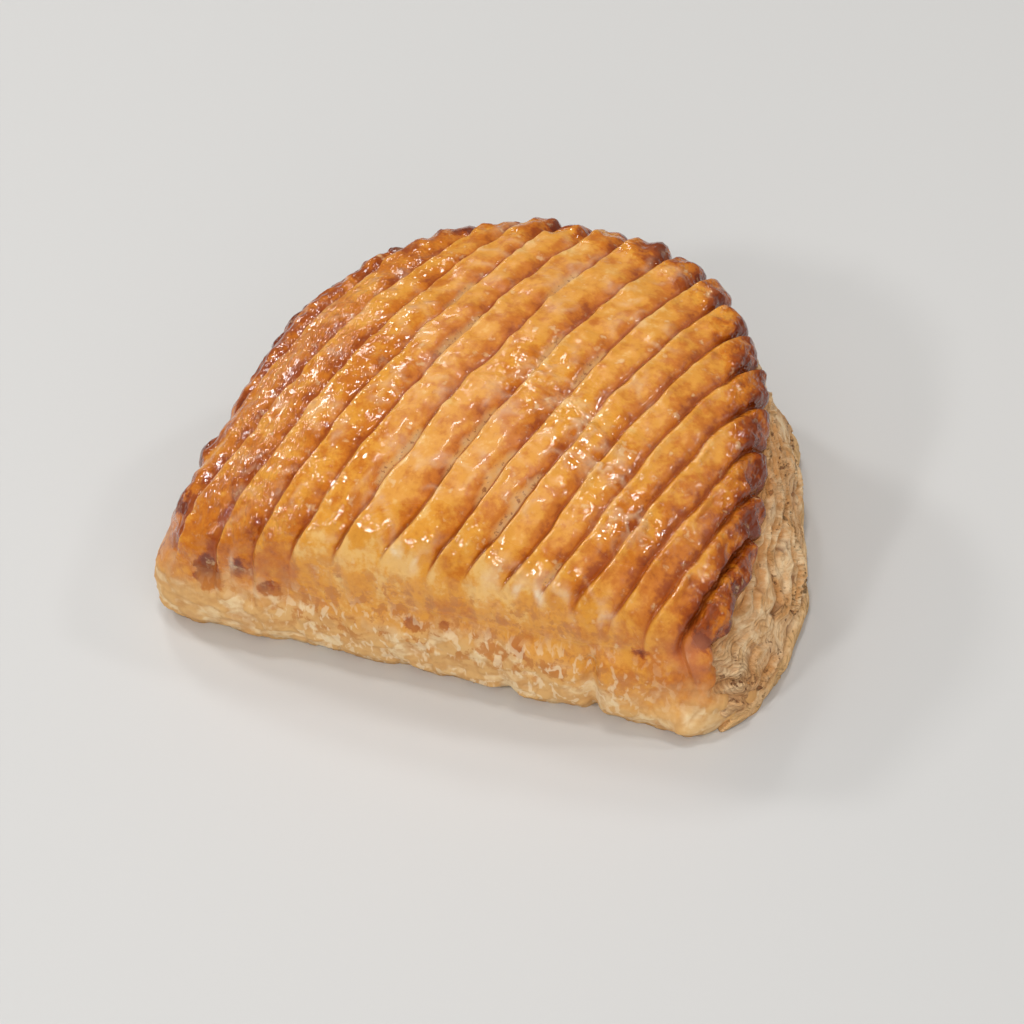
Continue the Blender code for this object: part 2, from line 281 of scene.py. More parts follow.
last_groove = np.exp(-((wandering - STRIPS + 0.95) / 0.30) ** 2) * smooth_step(0.98, 0.85, along[None])
rise = rise - 0.9 * np.exp(-((wandering - STRIPS + 1.0) / 0.10) ** 2) * smooth_step(0.98, 0.8, along[None])
lively = 1.0 + 1.3 * smooth_step(0.86, 0.98, rim_share) * cut_share(angle)
blisters = 0.40 * uneven(flat, 12.0, 12) + 0.32 * uneven(flat, 6.5, 13) * lively + 0.24 * uneven(flat, 3.6, 14) * lively
blisters = blisters + 0.18 * uneven(flat, 2.3, 15) * lively + 0.05 * uneven(flat, 1.3, 16)
on_roll = fold_share(angle) * smooth_step(36.0, 27.0, smooth_crust[..., 2]) * smooth_step(18.8, 21.0, smooth_crust[..., 2])
blisters = blisters + on_roll * (0.55 * uneven(flat, 8.0, 50) + 0.35 * uneven(flat, 3.8, 51))
crust = smooth_crust + surface_normals(smooth_crust) * (rise + blisters * (1.0 - 0.4 * closed_cut))[..., None]

# The strips stick out a little at the rim, and two of them further at the left.
outward = 0.7 * (puff - 0.45) + 0.7 * uneven(flat, 4.0, 49, 2)
for place_round, wide, out in LEFT_LOBES:
    outward = outward + out * np.exp(-((np.degrees(angle) % 360.0 - place_round) / wide) ** 2)
outward = outward * smooth_step(0.82, 1.0, rim_share) * np.maximum(cut_share(angle), x < -50.0)
crust = crust + outward[..., None] * np.stack([np.cos(angle), np.sin(angle), 0.0 * angle], axis=-1)

# The side below the rim, ring by ring: the rolled fold at the front, and a core behind the cut layers.
SIDE_RINGS = 34
FOLD_BULGE, FOLD_TUCK, CORE_RECESS = 1.6, 1.6, 2.4
# Where the foot of the pastry swells or draws in at the right: degrees round it, how wide, and millimetres out.
FOOT_LOBES = ((-14.5, 3.6, 3.8), (-4.0, 5.5, -3.0), (22.0, 6.0, 0.9), (37.0, 6.0, -1.4), (54.5, 3.0, 2.2))
# Creases in the rolled fold: place along it, lean, half width and depth in millimetres. The last figure
# is how far the fold steps forward to the right of the crease.
FOLD_CREASES = (
    (9.6, 0.05, 2.2, 1.0, 0.6), (28.6, 0.10, 1.6, 1.6, 1.5), (-14.0, -0.3, 2.6, 0.5, 0.0), (-38.0, 0.2, 2.4, 0.5, -0.3),
    (46.0, -0.4, 2.0, 0.4, 0.0),
)


def scales(points, grain, seed):
    """Flaky scales: a tone for each scale, and how near its edge each point is, both 0 to 1."""
    warped = points / grain + 0.45 * uneven(points, grain * 1.1, seed)[:, None]
    cell = np.floor(warped).astype(np.int64)
    near, second = np.full(len(points), 9.0), np.full(len(points), 9.0)
    tone = np.zeros(len(points))
    for step in np.ndindex(3, 3, 3):
        at = cell + step - 1
        hashed = (at[:, 0] * 374761393 + at[:, 1] * 668265263 + at[:, 2] * 974634777 + seed * 362437) & 0xFFFFFFFF
        hashed = ((hashed ^ (hashed >> 13)) * 1274126177) & 0xFFFFFFFF
        hashed = ((hashed ^ (hashed >> 15)) * 2246822519) & 0xFFFFFFFF
        middle = at + np.stack([(hashed >> shift) % 1024 / 1023.0 for shift in (2, 12, 21)], axis=-1)
        away = np.linalg.norm(middle - warped, axis=-1)
        nearer = away < near
        second = np.where(nearer, near, np.minimum(second, away))
        near = np.where(nearer, away, near)
        tone = np.where(nearer, (hashed >> 7) % 512 / 511.0, tone)
    return tone, smooth_step(0.16, 0.0, second - near)


def foot_reach(angle, drop):
    """How far the foot of the pastry swells out or draws in."""
    lobes = (out * np.exp(-((np.degrees(angle) - place_round) / wide) ** 2) for place_round, wide, out in FOOT_LOBES)
    return sum(lobes) * smooth_step(0.35, 0.9, drop)


def seam_place(angle, drop):
    """Where a point lies along the fold's seam with the cut edge, which wanders on its way down."""
    return np.sin(angle) - 0.035 * (0.5 + 0.3 * np.sin(9.0 * drop + 0.6) + 0.2 * np.sin(23.0 * drop))


def rolled_share(angle, drop):
    """1 where the sheet is rolled round from top to bottom, 0 where its layers were cut."""
    along = seam_place(angle, drop)
    return np.where(np.cos(angle) > 0.0, smooth_step(-0.185, -0.212, along), smooth_step(0.05, 0.01, along))


columns, rows = crust.shape[:2]
grid_index = np.arange(columns * rows).reshape(columns, rows)
rim_index = np.concatenate([grid_index[:, 0], grid_index[-1, 1:], grid_index[-2::-1, -1], grid_index[0, -2:0:-1]])
rim = crust.reshape(-1, 3)[rim_index]
rim_angle = np.ravel(angle)[rim_index]
rim_outline = outline_radius(rim_angle)[:, None] * np.stack([np.cos(rim_angle), np.sin(rim_angle)], axis=-1)
rim_run = np.roll(rim_outline, -4, axis=0) - np.roll(rim_outline, 4, axis=0)
rim_normal = np.stack([rim_run[:, 1], -rim_run[:, 0]], axis=-1)
rim_normal /= np.linalg.norm(rim_normal, axis=-1, keepdims=True)
side, side_tones, side_edges = [], [], []
for drop in np.arange(1, SIDE_RINGS + 1) / SIDE_RINGS:
    height = rim[:, 2] * (1.0 - drop)
    rim_rolled = rolled_share(rim_angle, drop)[:, None]
    ahead = np.concatenate([rim_outline, height[:, None]], axis=-1)
    lumps = 1.0 * uneven(ahead * (1.0, 1.0, 0.5), 21.0, 21) + 0.7 * uneven(ahead, 9.0, 22)
    lumps = lumps + 0.40 * uneven(ahead, 4.2, 23) + 0.20 * uneven(ahead, 2.2, 24)
    for place_along, lean, half, depth, step in FOLD_CREASES:
        off_crease = (ahead[:, 0] - place_along - lean * height) / half
        creased = step * smooth_step(-0.2, 1.5, off_crease) * smooth_step(14.0, 3.0, off_crease)
        lumps = lumps + (creased - depth * np.exp(-off_crease ** 2)) * smooth_step(25.0, 14.0, height)
    tone, scale_edge = scales(ahead * (1.0, 1.0, 1.5), 4.6, 25)
    lumps = lumps + (0.5 * (tone - 0.5) - 0.22 * scale_edge) * smooth_step(19.0, 12.0, height)
    side_tones.append(tone)
    side_edges.append(scale_edge)
    swell = FOLD_BULGE * math.sin(math.pi * drop ** 0.8) - FOLD_TUCK * smooth_step(0.75, 1.0, drop) ** 2
    on_fold = (rim_outline - rim[:, :2]) * (1.0 - (1.0 - drop) ** 2.4)
    swell = swell + lumps * smooth_step(0.0, 0.2, drop) + foot_reach(rim_angle, drop)
    on_fold = on_fold + rim_normal * swell[:, None]
    behind_cut = (rim_outline - rim[:, :2]) * smooth_step(0.05, 1.0, drop)
    behind_cut = behind_cut - rim_normal * CORE_RECESS * smooth_step(0.02, 0.09, drop)
    out = rim[:, :2] + on_fold * rim_rolled + behind_cut * (1.0 - rim_rolled)
    side.append(np.concatenate([out, height[:, None]], axis=-1))
side = np.stack(side)
rings = [rim_index] + [columns * rows + np.arange(len(rim)) + k * len(rim) for k in range(SIDE_RINGS)]
faces = list(zip(grid_index[:-1, :-1].ravel().tolist(), grid_index[1:, :-1].ravel().tolist(),
                 grid_index[1:, 1:].ravel().tolist(), grid_index[:-1, 1:].ravel().tolist()))
for upper, lower in zip(rings[:-1], rings[1:]):
    faces += quad_strip(lower, upper)
base_middle = columns * rows + side.shape[0] * len(rim)
faces += [(base_middle, follow, here) for here, follow in zip(rings[-1].tolist(), np.roll(rings[-1], -1).tolist())]


# The crust's frame has its middle on the widest line; this moves it to the middle of the CAD box.
TO_BOX = np.array([3.407, -36.345, 0.0])
crust_points = placed(np.concatenate([crust.reshape(-1, 3), side.reshape(-1, 3), [(0.0, 30.0, 0.0)]])) + TO_BOX
# Places that browned most: where they are in the box (millimetres), how far they reach, and how much.
BROWNED_SPOTS = (
    (-61.0, -38.0, 24.5, 4.2, 0.7), (-63.0, -43.5, 13.5, 3.6, 0.8), (-50.5, -49.5, 17.6, 4.2, 0.9),
    (-43.6, -50.5, 21.5, 3.0, 0.8), (-36.7, -50.7, 17.4, 2.6, 0.9), (-4.2, -51.4, 15.5, 2.2, 0.9),
    (3.0, -51.3, 17.2, 1.9, 0.9), (19.5, -52.2, 15.1, 2.2, 0.85), (45.0, -50.5, 19.0, 2.8, 0.6),
    (57.0, -47.0, 22.0, 3.5, 0.6), (60.8, -34.0, 24.5, 3.2, 0.9), (61.0, -40.0, 21.5, 3.4, 1.0), (60.3, -45.0, 17.0, 2.8, 0.9),
)
ROSY_SPOT = (55.0, -50.5, 20.0, 4.2)


def browned(points, spots):
    """How browned each point is by ragged round spots."""
    ragged = 1.0 + 0.35 * uneven(points, 4.0, 41) + 0.25 * uneven(points, 1.8, 42)
    total = np.zeros(len(points))
    for *middle, reach, amount in spots:
        away = np.linalg.norm(points - middle, axis=-1) / (reach * ragged)
        total = np.maximum(total, amount * np.exp(-away ** 2.5))
    return total


def with_side(values, keep=0.0):
    """A crust mask carried down the side, fading from its value on the rim."""
    on_the_rim = np.ravel(values)[rim_index]
    tail = [on_the_rim * max(keep, 1.0 - 8.0 * (k + 1) / SIDE_RINGS) for k in range(SIDE_RINGS)]
    return np.concatenate([np.ravel(values), np.ravel(tail), [0.0]])


def below_crust(values):
    """A mask of the side, with nothing on the crust above it or at the middle of the base."""
    return np.concatenate([np.zeros(columns * rows), np.ravel(values), [0.0]])


turnover_crust = mesh_object("turnover_crust", crust_points, faces, {
    "score": with_side(closed_cut),
    "open_score": with_side(open_cut),
    # The strips' flanks: masks for painted shade on each slope down into a score and painted light on each steep left
    # edge.
    "shaded_flank": with_side(smooth_step(0.50, 1.0, fraction) * fading * (1.0 - open_cut)),
    "lit_flank": with_side(smooth_step(0.34, 0.05, fraction) * fading),
    "film": with_side(film),
    "rim": with_side(smooth_step(0.85, 1.0, rim_share) * cut_share(angle), 0.6),
    # The hem mask browns the rim's hem and, along the last score, paints the shade of its groove.
    "hem": with_side(np.maximum(hem * smooth_step(STRIPS - 0.4, STRIPS - 1.0, wandering), last_groove), 0.3),
    "scale_tone": below_crust(side_tones),
    "scale_edge": below_crust(side_edges),
    "centre": with_side(smooth_step(0.9, 0.1, np.hypot(x - 14.0, y - 2.0) / 58.0)),
    "pale_fold": with_side(pale_fold),
    "fold": np.concatenate([np.ravel(fold_share(angle)), np.tile(fold_share(rim_angle), SIDE_RINGS), [0.0]]),
    "wrinkled": with_side(np.maximum(smooth_step(-24.0, -46.0, x) * smooth_step(0.97, 0.80, rim_share), 0.6 * near_rim * on_right), 0.3),
    "web": with_side(bridge),
    "crinkled": with_side(np.maximum.reduce([
        wide_bridge, 0.9 * score_end, 0.9 * smooth_step(-10.0, -32.0, x), 1.1 * near_rim,
        0.35 * smooth_step(0.34, 0.05, fraction) * fading, 0.7 * on_roll,
    ])),
    "browned": browned(crust_points, BROWNED_SPOTS),
    "rosy": browned(crust_points, [(*ROSY_SPOT, 1.0)]),
})


def add(tree, kind, *links, **settings):
    """A shader node: its settings, then its inputs in order as values or sockets (None leaves one alone)."""
    made = tree.nodes.new(kind)
    for name, value in settings.items():
        setattr(made, name, value)
    for socket, value in zip(made.inputs, links):
        if isinstance(value, bpy.types.NodeSocket):
            tree.links.new(value, socket)
        elif value is not None:
            socket.default_value = value
    return made


def calc(tree, operation, first, second=0.0, third=0.0):
    return add(tree, "ShaderNodeMath", first, second, third, operation=operation).outputs[0]


def span(tree, value, low, high, to_low=0.0, to_high=1.0):
    """Map a value from one range to another, held inside it, with level ends."""
    made = add(tree, "ShaderNodeMapRange", value, low, high, to_low, to_high, interpolation_type="SMOOTHSTEP")
    return made.outputs[0]


def blend(tree, share, first, second):
    """A colour between two colours."""
    made = tree.nodes.new("ShaderNodeMix")
    made.data_type = "RGBA"
    for socket, value in ((made.inputs[0], share), (made.inputs[6], first), (made.inputs[7], second)):
        if isinstance(value, bpy.types.NodeSocket):
            tree.links.new(value, socket)
        else:
            socket.default_value = value if isinstance(value, float) else (*value, 1.0)
    return made.outputs[2]


def grain_of(tree, place, grain, detail=2.0, roughness=0.5, distortion=0.0):
    """Noise with a grain in metres."""
    made = tree.nodes.new("ShaderNodeTexNoise")
    tree.links.new(place, made.inputs["Vector"])
    made.inputs["Scale"].default_value = 1.0 / grain
    made.inputs["Detail"].default_value = detail
    made.inputs["Roughness"].default_value = roughness
    made.inputs["Distortion"].default_value = distortion
    return made.outputs["Factor"] if "Factor" in made.outputs else made.outputs[0]


def mask_of(tree, label):
    return add(tree, "ShaderNodeAttribute", attribute_name=label).outputs["Fac"]


def new_material(name):
    material = bpy.data.materials.new(name)
    material.use_nodes = True
    return material, material.node_tree, material.node_tree.nodes["Principled BSDF"]


CREAM, FILM, TAN, BUFF = (0.82, 0.58, 0.30), (0.88, 0.70, 0.47), (0.60, 0.30, 0.10), (0.60, 0.36, 0.16)
PALE_GOLD, GOLD = (0.80, 0.46, 0.14), (0.71, 0.30, 0.035)
AMBER, RUSSET = (0.54, 0.155, 0.010), (0.40, 0.085, 0.008)
CHESTNUT, DARK_CHESTNUT = (0.31, 0.058, 0.004), (0.17, 0.024, 0.002)
ROSE = (0.56, 0.17, 0.065)
TOASTED, FLECK_CREAM, WEB_CREAM = (0.52, 0.18, 0.032), (0.87, 0.68, 0.43), (0.88, 0.68, 0.40)

material, tree, shader = new_material("egg_washed_crust")
place = add(tree, "ShaderNodeTexCoord").outputs["Object"]
height = add(tree, "ShaderNodeSeparateXYZ", place).outputs["Z"]
drawn_out = add(tree, "ShaderNodeVectorMath", place, (1.0, 0.35, 0.6), operation="MULTIPLY").outputs[0]
broad, patchy = grain_of(tree, place, 0.015, 2.0), grain_of(tree, place, 0.0052, 3.0, 0.6)
mottle, fine = grain_of(tree, place, 0.0024, 3.0, 0.55), grain_of(tree, place, 0.0009, 3.0, 0.6)
pebbles, pinches = grain_of(tree, place, 0.0028, 1.0, 0.5), grain_of(tree, drawn_out, 0.0012, 0.5, 0.4)
scale_tone, scale_edge = mask_of(tree, "scale_tone"), mask_of(tree, "scale_edge")
score, open_score, film_mask = (mask_of(tree, label) for label in ("score", "open_score", "film"))
shaded, lit = mask_of(tree, "shaded_flank"), mask_of(tree, "lit_flank")
rim_mask, hem_mask, centre = (mask_of(tree, label) for label in ("rim", "hem", "centre"))
brown_spots, rosy, pale_fold = (mask_of(tree, label) for label in ("browned", "rosy", "pale_fold"))
fold, wrinkled, web = (mask_of(tree, label) for label in ("fold", "wrinkled", "web"))
across_place = add(tree, "ShaderNodeSeparateXYZ", place).outputs["X"]
wrinkles = grain_of(tree, drawn_out, 0.0009, 1.0, 0.5, 0.3)
blotchy, flecked = grain_of(tree, place, 0.0034, 4.0, 0.62, 0.3), grain_of(tree, drawn_out, 0.0017, 2.0, 0.5, 0.5)

outer = calc(tree, "MULTIPLY", span(tree, calc(tree, "ABSOLUTE", calc(tree, "SUBTRACT", across_place, 0.006)), 0.018, 0.050), 0.24)
rim_toasted = calc(tree, "MULTIPLY", rim_mask, span(tree, patchy, 0.33, 0.58, 0.25, 1.0))
# How toasted the crust looks, with painted light and shade mixed in: the shaded flank darkens each strip's slope into
# its score, the lit flank lightens its steep left edge.
toast_shade_and_light = calc(tree, "MULTIPLY_ADD", span(tree, patchy, 0.35, 0.65), 0.30, calc(tree, "ADD", outer, 0.08))
ragged_spots = span(tree, calc(tree, "MULTIPLY_ADD", calc(tree, "SUBTRACT", blotchy, 0.5), 1.5, brown_spots), 0.34, 0.62)
for mask, amount in (
    (span(tree, broad, 0.3, 0.7), 0.26), (shaded, 0.46), (lit, -0.28), (centre, 0.05), (pale_fold, -0.50),
    (rim_toasted, 0.66), (hem_mask, 0.34), (span(tree, mottle, 0.3, 0.7), 0.26), (span(tree, fine, 0.35, 0.65), 0.14),
    (ragged_spots, 0.75),
):
    toast_shade_and_light = calc(tree, "MULTIPLY_ADD", mask, amount, toast_shade_and_light)
colour = blend(tree, span(tree, toast_shade_and_light, 0.05, 0.45), PALE_GOLD, GOLD)
colour = blend(tree, span(tree, toast_shade_and_light, 0.45, 0.95), colour, AMBER)
colour = blend(tree, span(tree, toast_shade_and_light, 0.90, 1.35), colour, CHESTNUT)
colour = blend(tree, span(tree, toast_shade_and_light, 1.35, 1.75), colour, DARK_CHESTNUT)
spots = calc(tree, "MULTIPLY", span(tree, mottle, 0.60, 0.72), span(tree, patchy, 0.62, 0.42))
colour = blend(tree, calc(tree, "MULTIPLY", spots, 0.5), colour, CREAM)
# A russet line along each score, darker at the rim: browning of the cut, and painted shade in the score's groove.
scored = span(tree, calc(tree, "MULTIPLY", score, span(tree, broad, 0.3, 0.7, 0.7, 1.1)), 0.05, 0.62, 0.0, 0.85)
colour = blend(tree, scored, colour, RUSSET)
colour = blend(tree, calc(tree, "MULTIPLY", scored, rim_mask), colour, DARK_CHESTNUT)
colour = blend(tree, calc(tree, "MULTIPLY", open_score, span(tree, mottle, 0.3, 0.7, 0.5, 1.0)), colour, BUFF)
# Tiny holes in the open crumb, painted dark as their shade.
hole_shade = calc(tree, "MULTIPLY", open_score, span(tree, fine, 0.56, 0.64))
colour = blend(tree, calc(tree, "MULTIPLY", hole_shade, 0.65), colour, DARK_CHESTNUT)
colour = blend(tree, calc(tree, "MULTIPLY", film_mask, span(tree, mottle, 0.35, 0.6, 0.5, 1.0)), colour, FILM)
wash_edge = calc(tree, "MULTIPLY_ADD", patchy, 0.014, calc(tree, "MULTIPLY", broad, 0.014))
wash_edge = calc(tree, "ADD", wash_edge, span(tree, across_place, 0.015, 0.048, 0.001, -0.004))
washed = span(tree, calc(tree, "SUBTRACT", height, wash_edge), -0.004, 0.004)
dry_tone = calc(tree, "MULTIPLY_ADD", scale_tone, 0.5, calc(tree, "MULTIPLY", mottle, 0.5))
dry = blend(tree, span(tree, dry_tone, 0.30, 0.58), (0.86, 0.64, 0.36), (0.74, 0.43, 0.16))
dry = blend(tree, calc(tree, "MULTIPLY", span(tree, patchy, 0.45, 0.70), 0.7), dry, TAN)
dry = blend(tree, calc(tree, "MULTIPLY", scale_edge, 0.6), dry, TAN)
dry = blend(tree, calc(tree, "MULTIPLY", ragged_spots, 0.8), dry, AMBER)
colour = blend(tree, washed, dry, colour)
on_fold = calc(tree, "MULTIPLY", fold, span(tree, height, 0.031, 0.022))
blotches = calc(tree, "MULTIPLY", calc(tree, "MULTIPLY", on_fold, span(tree, height, 0.005, 0.012)), span(tree, blotchy, 0.51, 0.60))
colour = blend(tree, calc(tree, "MULTIPLY", blotches, 0.8), colour, TOASTED)
flecks = calc(tree, "MULTIPLY", calc(tree, "MULTIPLY", on_fold, span(tree, height, 0.022, 0.012)), span(tree, flecked, 0.54, 0.62))
colour = blend(tree, calc(tree, "MULTIPLY", flecks, 0.65), colour, FLECK_CREAM)
colour = blend(tree, calc(tree, "MULTIPLY", web, 0.22), colour, WEB_CREAM)
colour = blend(tree, calc(tree, "MULTIPLY", rosy, 0.7), colour, ROSE)
tree.links.new(colour, shader.inputs["Base Color"])
gloss = calc(tree, "MULTIPLY", washed, calc(tree, "SUBTRACT", 1.0, open_score))
shine = calc(tree, "MULTIPLY", gloss, span(tree, patchy, 0.30, 0.55, 0.78, 1.0))
smoothest = span(tree, mask_of(tree, "crinkled"), 0.1, 0.6, 0.42, 0.07)
tree.links.new(calc(tree, "ADD", smoothest, span(tree, shine, 0.0, 1.0, 0.44, 0.0)), shader.inputs["Roughness"])
coated = calc(tree, "MULTIPLY", gloss, span(tree, mottle, 0.35, 0.65, 0.05, 0.35))
tree.links.new(calc(tree, "MULTIPLY", coated, calc(tree, "SUBTRACT", 1.0, rim_mask)), shader.inputs["Coat Weight"])
shader.inputs["Coat Roughness"].default_value = 0.05
shader.inputs["Specular IOR Level"].default_value = 0.5
crinkled = calc(tree, "MULTIPLY_ADD", lit, 0.35, calc(tree, "MULTIPLY_ADD", mask_of(tree, "crinkled"), 0.85, 0.15))
crinkled = calc(tree, "MULTIPLY", crinkled, span(tree, patchy, 0.3, 0.6, 0.45, 1.0))
relief = calc(tree, "MULTIPLY", calc(tree, "MULTIPLY_ADD", pinches, 0.35, pebbles), crinkled)
relief = calc(tree, "MULTIPLY_ADD", calc(tree, "MULTIPLY", wrinkles, wrinkled), 1.2, relief)
bump = add(tree, "ShaderNodeBump")
bump.inputs["Strength"].default_value = 1.0
bump.inputs["Distance"].default_value = 0.0007
tree.links.new(relief, bump.inputs["Height"])
tree.links.new(bump.outputs[0], shader.inputs["Normal"])
turnover_crust.data.materials.append(material)
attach(turnover_crust, "root")
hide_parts("turnover")

# ---------------------------------------------------------------------------------------------------
# Cut edge. Round the back the sheet was cut with a knife, so its layers of dough and butter show. They
# rise apart in the oven into soft, wavy leaves, pale and matt, over the thicker lip of the bottom sheet.
# ---------------------------------------------------------------------------------------------------
EDGE_COLUMNS, EDGE_ROWS = 880, 102
EDGE_START, EDGE_END = math.asin(-0.232), math.pi + math.asin(0.03)
LEAF_THICKNESS = 2.9
CUT_DROPS = (0.0, 0.04, 0.11, 0.19, 0.38, 0.58, 0.74, 0.81, 1.0)
CUT_WAYS_OUT = (0.0, 0.0, 0.02, 0.10, 0.34, 0.62, 0.90, 1.0, 1.0)
LIP_TOP, LIP_THICKNESS = 0.83, 0.17
# The front corner, where the layers are rolled up: where it is in the box, and how far it reaches (millimetres).
ROLLED_UP = (63.0, -45.0, 9.5, 7.5)

dense_angles = np.linspace(EDGE_START, EDGE_END, 4000)
dense_x, dense_y = outline_radius(dense_angles) * (np.cos(dense_angles), np.sin(dense_angles))
walked = np.concatenate([[0.0], np.cumsum(np.hypot(np.diff(dense_x), np.diff(dense_y)))])
edge_way = np.linspace(0.0, walked[-1], EDGE_COLUMNS)
edge_angle = np.interp(edge_way, walked, dense_angles)
order = np.argsort(rim_angle)


def round_edge(values):
    """Values from round the rim, at each column of the cut edge."""
    columns = np.reshape(values, (len(rim), -1))[order].T
    return np.stack([np.interp(edge_angle, rim_angle[order], column, period=2.0 * math.pi) for column in columns], axis=-1)


edge_rim, edge_outline, edge_normal = round_edge(rim), round_edge(rim_outline), round_edge(rim_normal)
edge_puff = round_edge(np.ravel(puff)[rim_index])
# Below the rim the edge forgets the strips: the rim's plan, evened out over three of them.
evened = [np.convolve(np.pad(edge_rim[:, k], 30, mode="edge"), np.full(61, 1.0 / 61.0), mode="valid") for k in (0, 1)]
evened = np.stack(evened, axis=-1)
drop = np.linspace(0.02, 1.0, EDGE_ROWS)[None]
below = edge_rim[:, 2:] * drop
way_out = np.interp(drop, CUT_DROPS, CUT_WAYS_OUT)[..., None]
edge_height = edge_rim[:, 2:] * (1.0 - drop)
forgotten = smooth_step(0.3, 5.0, below)[..., None]
edge_top = edge_rim[:, None, :2] * (1.0 - forgotten) + evened[:, None] * forgotten
edge_plan = edge_top + (edge_outline[:, None] - edge_top) * way_out
edge_plan = edge_plan - 0.7 * edge_normal[:, None] * smooth_step(3.0, 1.0, below)[..., None]
on_edge = np.concatenate([edge_plan, edge_height[..., None]], axis=-1)
leaf_way = below / LEAF_THICKNESS + 1.5 * uneven(on_edge, 19.0, 31) + 0.9 * uneven(on_edge, 8.0, 32) + 0.3 * uneven(on_edge, 3.5, 30)
leaf_number = np.floor(leaf_way)
leaf_share = leaf_way - leaf_number
leaf_rise = (1.0 - leaf_share) ** 1.1 * smooth_step(0.0, 0.12, leaf_share)
way_grid = np.broadcast_to(edge_way[:, None], leaf_way.shape)
leaf_out = 0.8 * lattice_noise(np.stack([leaf_number * 5.37, way_grid / 15.0, 0 * way_grid], axis=-1), 33)
leaf_out = leaf_out + 0.35 * lattice_noise(np.stack([leaf_number * 3.71, way_grid / 6.0, 0 * way_grid], axis=-1), 34)
leaf_strength = smooth_step(-0.7, 0.5, uneven(on_edge, 12.0, 35))
relief = leaf_strength * (2.1 * (leaf_rise - 0.45) + 1.2 * leaf_out)
relief = relief + 0.9 * uneven(on_edge, 13.0, 36) + 0.45 * uneven(on_edge, 5.5, 37) + 0.16 * uneven(on_edge, 2.4, 38)
slits = np.clip(1.0 - np.abs(uneven(on_edge * (1.0, 1.0, 2.2), 8.0, 46)) / 0.10, 0.0, 1.0)
slits = slits * smooth_step(0.0, 0.4, uneven(on_edge, 7.0, 47)) * smooth_step(0.06, 0.15, drop)
relief = relief - 0.9 * slits
relief = (relief - 0.6 * (1.0 - edge_puff) ** 2 * smooth_step(9.0, 0.0, below)) * smooth_step(0.0, 2.6, below)
thin_leaf = np.abs((0.9 * below + 1.2 * uneven(on_edge, 10.0, 43)) % 1.0 * 2.0 - 1.0)
thin_strength = smooth_step(0.42, 0.05, edge_angle + 0.2)[:, None] * smooth_step(-0.3, 0.3, uneven(on_edge, 9.0, 44))
relief = relief + 0.15 * (thin_leaf - 0.5) * thin_strength
lip = smooth_step(LIP_TOP - 0.02, LIP_TOP + 0.05, drop)
lip_wave = lattice_noise(np.stack([edge_way / 21.0, 0 * edge_way, 0 * edge_way], axis=-1), 39)
lip_out = 0.5 + 1.3 * np.abs(np.sin(edge_way / 8.3 + 1.8 * lip_wave))[:, None] ** 0.7
lip_round = np.sqrt(np.clip(1.0 - (2.0 * (drop - LIP_TOP) / LIP_THICKNESS - 1.0) ** 2, 0.0, 1.0))
relief = relief * (1.0 - 0.75 * lip) + lip * (lip_out * lip_round - 1.0) - 1.1 * np.exp(-((drop - LIP_TOP) / 0.022) ** 2)
relief = relief + foot_reach(edge_angle[:, None], drop)
edge_along = seam_place(edge_angle[:, None], drop)
right_tuck, left_tuck = smooth_step(-0.212, -0.226, edge_along), smooth_step(0.01, -0.02, edge_along)
tucked = np.where(np.cos(edge_angle[:, None]) > 0.0, right_tuck, left_tuck)
out = relief * (1.0 - tucked) - 4.5 * tucked
outer = on_edge + np.concatenate([edge_normal[:, None] * out[..., None], 0.0 * out[..., None]], axis=-1)
inner = on_edge[:, [-1, 0]] - 5.0 * np.concatenate([edge_normal, 0.0 * edge_normal[:, :1]], axis=-1)[:, None]
edge_grid = np.concatenate([outer, inner], axis=1)
edge_index = np.arange(edge_grid.shape[0] * edge_grid.shape[1]).reshape(edge_grid.shape[:2])
edge_faces = []
for near, far in zip(edge_index[:-1], edge_index[1:]):
    edge_faces += quad_strip(near, far)
edge_faces += [tuple(edge_index[0][::-1].tolist()), tuple(edge_index[-1].tolist())]


def with_inner(values):
    """An outer mask of the cut edge, with nothing on the hidden inner wall."""
    return np.concatenate([np.broadcast_to(values, outer.shape[:2]), np.zeros((EDGE_COLUMNS, 2))], axis=1)


edge_points = placed(edge_grid.reshape(-1, 3)) + TO_BOX
cut_edge = mesh_object("layered_cut_edge", edge_points, edge_faces, {
    "leaf_way": with_inner(leaf_way),
    "leafy": with_inner(leaf_strength * (1.0 - lip)),
    # The slits cut into the leaves, painted dark in the colour as their shade.
    "slit_shade": with_inner(slits * (1.0 - lip)),
    # Where the relief sinks low: a mask for painted shade in the crevices.
    "crevice_shade": with_inner(smooth_step(0.1, -1.5, relief - 0.9 * uneven(on_edge, 13.0, 36)) * (1.0 - lip)),
    "below_rim": with_inner(smooth_step(6.5, 0.4, below + 2.4 * uneven(on_edge, 5.0, 40, 2))),
    "lip": with_inner(lip),
    # The groove where the leaves meet the lip, painted dark as its shade.
    "lip_groove_shade": with_inner(np.exp(-((drop - LIP_TOP - 0.008 * uneven(on_edge, 4.0, 48)) / 0.013) ** 2)),
    "rolled_up": browned(edge_points, [(*ROLLED_UP, 1.0)]),
})

LAYER_CREAM, LAYER_TAN, LAYER_BROWN = (0.90, 0.66, 0.39), (0.76, 0.44, 0.19), (0.58, 0.26, 0.08)
# The darkest brown is painted shade, for the gaps under leaves, the slits, the pits and the groove above the lip.
CRISP_EDGE, GAP_SHADE, LIP_GOLD = (0.60, 0.27, 0.08), (0.22, 0.075, 0.025), (0.74, 0.45, 0.19)

